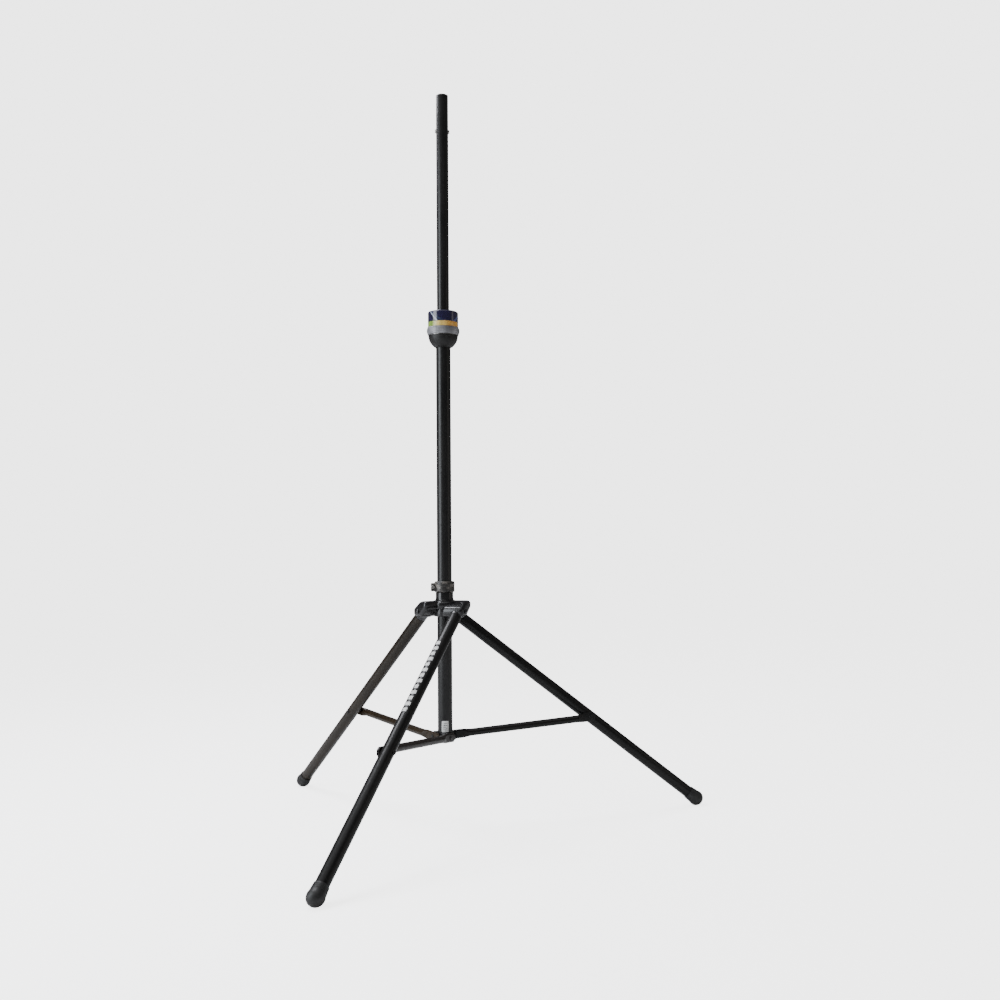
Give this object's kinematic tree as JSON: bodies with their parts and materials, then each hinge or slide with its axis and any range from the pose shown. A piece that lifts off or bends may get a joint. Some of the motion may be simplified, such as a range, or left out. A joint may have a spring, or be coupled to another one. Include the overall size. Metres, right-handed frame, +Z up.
{
  "type": "speaker tripod stand",
  "caption": "Black telescopic pole on a folding tripod base with offset legs, braces and rubber feet, a twist-lock collar and a sliding hub; a speaker cabinet sits on its tip.",
  "frame": {"origin": "centre of the footprint's bounding box, on the floor", "axes": "+Z up along the pole; the legs point outwards at 0, 120 and 240 degrees from +X"},
  "size_m": [1.224, 1.3532, 2.1026],
  "materials": {
    "black_tube": "satin black coated tube",
    "black_leg": "satin black coated tube, slightly worn",
    "black_casting": "smooth black coated casting",
    "black_plastic": "fine moulded texture",
    "grey_ring": "ribbed grip moulding",
    "gold_band": "satin print",
    "navy_cap": "glossy print with pale sweeps",
    "rubber": "matt moulded",
    "steel": "bright plated",
    "dark_steel": "black oxide",
    "label_paper": "printed sticker with plain bars",
    "clamp_metal": "worn dark coating over bare metal"
  },
  "bodies": {
    "tube": {"outer_tube": "black_tube", "bottom_casting": "black_casting", "tube_bumper": "rubber", "tube_label": "label_paper", "collar_housing": "black_plastic", "collar_collet": "black_plastic", "collar_washer": "steel", "brace_inner_bolt_1": "dark_steel", "brace_inner_bolt_2": "dark_steel", "brace_inner_bolt_3": "dark_steel"},
    "lock": {"collar_ring": "grey_ring", "collar_band": "gold_band", "collar_cap": "navy_cap"},
    "pole": {"inner_pole": "black_tube", "pole_end_cap": "black_plastic", "pole_foot_bushing": "black_plastic", "button_spring": "steel"},
    "button_left": {"spring_button_2": "steel"},
    "button_right": {"spring_button_1": "steel"},
    "hub": {"hub_casting": "black_casting", "hub_bushing": "black_plastic", "clamp_band": "clamp_metal", "clamp_screw": "steel", "clamp_nut": "steel", "leg_pivot_bolt_1": "dark_steel", "leg_pivot_bolt_2": "dark_steel", "leg_pivot_bolt_3": "dark_steel"},
    "leg_1": {"leg_tube_1": "black_leg", "leg_head_1": "black_casting", "foot_1": "rubber", "brace_nut_1": "dark_steel"},
    "brace_1": {"brace_1": "black_leg", "brace_outer_bolt_1": "dark_steel"},
    "leg_2": {"leg_tube_2": "black_leg", "leg_head_2": "black_casting", "foot_2": "rubber", "brace_nut_2": "dark_steel"},
    "brace_2": {"brace_2": "black_leg", "brace_outer_bolt_2": "dark_steel"},
    "leg_3": {"leg_tube_3": "black_leg", "leg_head_3": "black_casting", "foot_3": "rubber", "brace_nut_3": "dark_steel"},
    "brace_3": {"brace_3": "black_leg", "brace_outer_bolt_3": "dark_steel"}
  },
  "joints": [
    {"name": "lock_turn", "type": "hinge", "parent": "tube", "child": "lock", "pos_m": [-0.16605, 0.0265, 1.43], "axis": [0, 0, 1], "range_deg": [0, 75]},
    {"name": "pole_slide", "type": "slide", "parent": "tube", "child": "pole", "axis": [0, 0, 1], "range_m": [-0.515, 0.12]},
    {"name": "hub_slide", "type": "slide", "parent": "tube", "child": "hub", "axis": [0, 0, 1], "range_m": [0, 0.5721]},
    {"name": "button_left_press", "type": "slide", "parent": "pole", "child": "button_left", "axis": [1, 0, 0], "range_m": [0, 0.0032], "stiffness_N_per_m": 500, "springref_m": -0.002},
    {"name": "button_right_press", "type": "slide", "parent": "pole", "child": "button_right", "axis": [-1, 0, 0], "range_m": [0, 0.0032], "stiffness_N_per_m": 500, "springref_m": -0.002},
    {"name": "leg_1_fold", "type": "hinge", "parent": "hub", "child": "leg_1", "pos_m": [-0.14405, 0.0795, 0.6053], "axis": [0, 1, 0], "range_deg": [0, 51.49]},
    {"name": "leg_2_fold", "type": "hinge", "parent": "hub", "child": "leg_2", "pos_m": [-0.22295, 0.01905, 0.6053], "axis": [-0.866, -0.5, 0], "range_deg": [0, 51.49]},
    {"name": "leg_3_fold", "type": "hinge", "parent": "hub", "child": "leg_3", "pos_m": [-0.13115, -0.01905, 0.6053], "axis": [0.866, -0.5, 0], "range_deg": [0, 51.49]},
    {"name": "brace_1_fold", "type": "hinge", "parent": "tube", "child": "brace_1", "pos_m": [-0.14405, 0.0512, 0.2483], "axis": [0, -1, 0], "range_deg": [0, 85.41]},
    {"name": "brace_2_fold", "type": "hinge", "parent": "tube", "child": "brace_2", "pos_m": [-0.19844, 0.0332, 0.2483], "axis": [0.866, 0.5, 0], "range_deg": [0, 85.41]},
    {"name": "brace_3_fold", "type": "hinge", "parent": "tube", "child": "brace_3", "pos_m": [-0.15566, -0.0049, 0.2483], "axis": [-0.866, 0.5, 0], "range_deg": [0, 85.41]}
  ],
  "couplings": [
    {"joint": "leg_1_fold", "follows": "hub_slide", "rad_per_m": 1.5702},
    {"joint": "leg_2_fold", "follows": "hub_slide", "rad_per_m": 1.5702},
    {"joint": "leg_3_fold", "follows": "hub_slide", "rad_per_m": 1.5702},
    {"joint": "brace_1_fold", "follows": "hub_slide", "rad_per_m": 2.6049},
    {"joint": "brace_2_fold", "follows": "hub_slide", "rad_per_m": 2.6049},
    {"joint": "brace_3_fold", "follows": "hub_slide", "rad_per_m": 2.6049}
  ]
}
